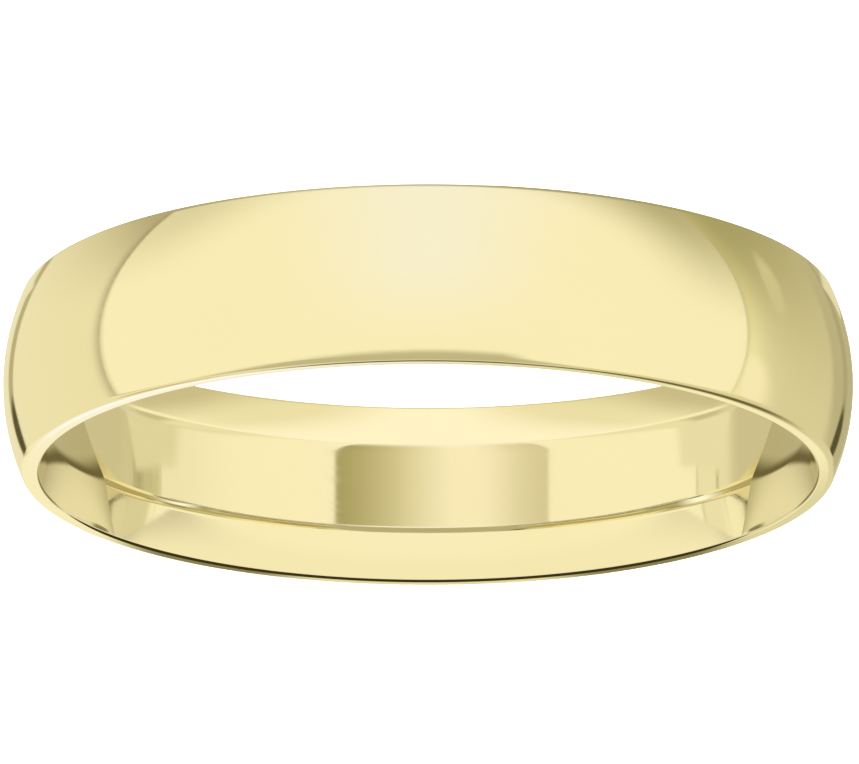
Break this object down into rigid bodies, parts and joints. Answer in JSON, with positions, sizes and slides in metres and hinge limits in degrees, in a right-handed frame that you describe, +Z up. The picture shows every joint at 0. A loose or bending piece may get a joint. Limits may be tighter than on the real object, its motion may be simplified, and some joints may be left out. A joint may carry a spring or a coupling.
{
  "type": "wedding band",
  "caption": "Plain polished gold wedding band with a domed outside and a comfort-fit inside, bent from strip and soldered at the shank.",
  "frame": {"origin": "centre of the finger hole, half way across the band's width", "axes": "+Y along the finger hole's axis, towards one rim face; +Z up, away from the soldered joint, when the band stands on its shank"},
  "size_m": [0.0184, 0.004, 0.0184],
  "materials": {
    "yellow_gold": "mirror polished 10 carat yellow gold",
    "gold_solder": "polished flush with the gold"
  },
  "bodies": {
    "root": {"band": "yellow_gold", "solder_seam": "gold_solder"}
  },
  "joints": []
}
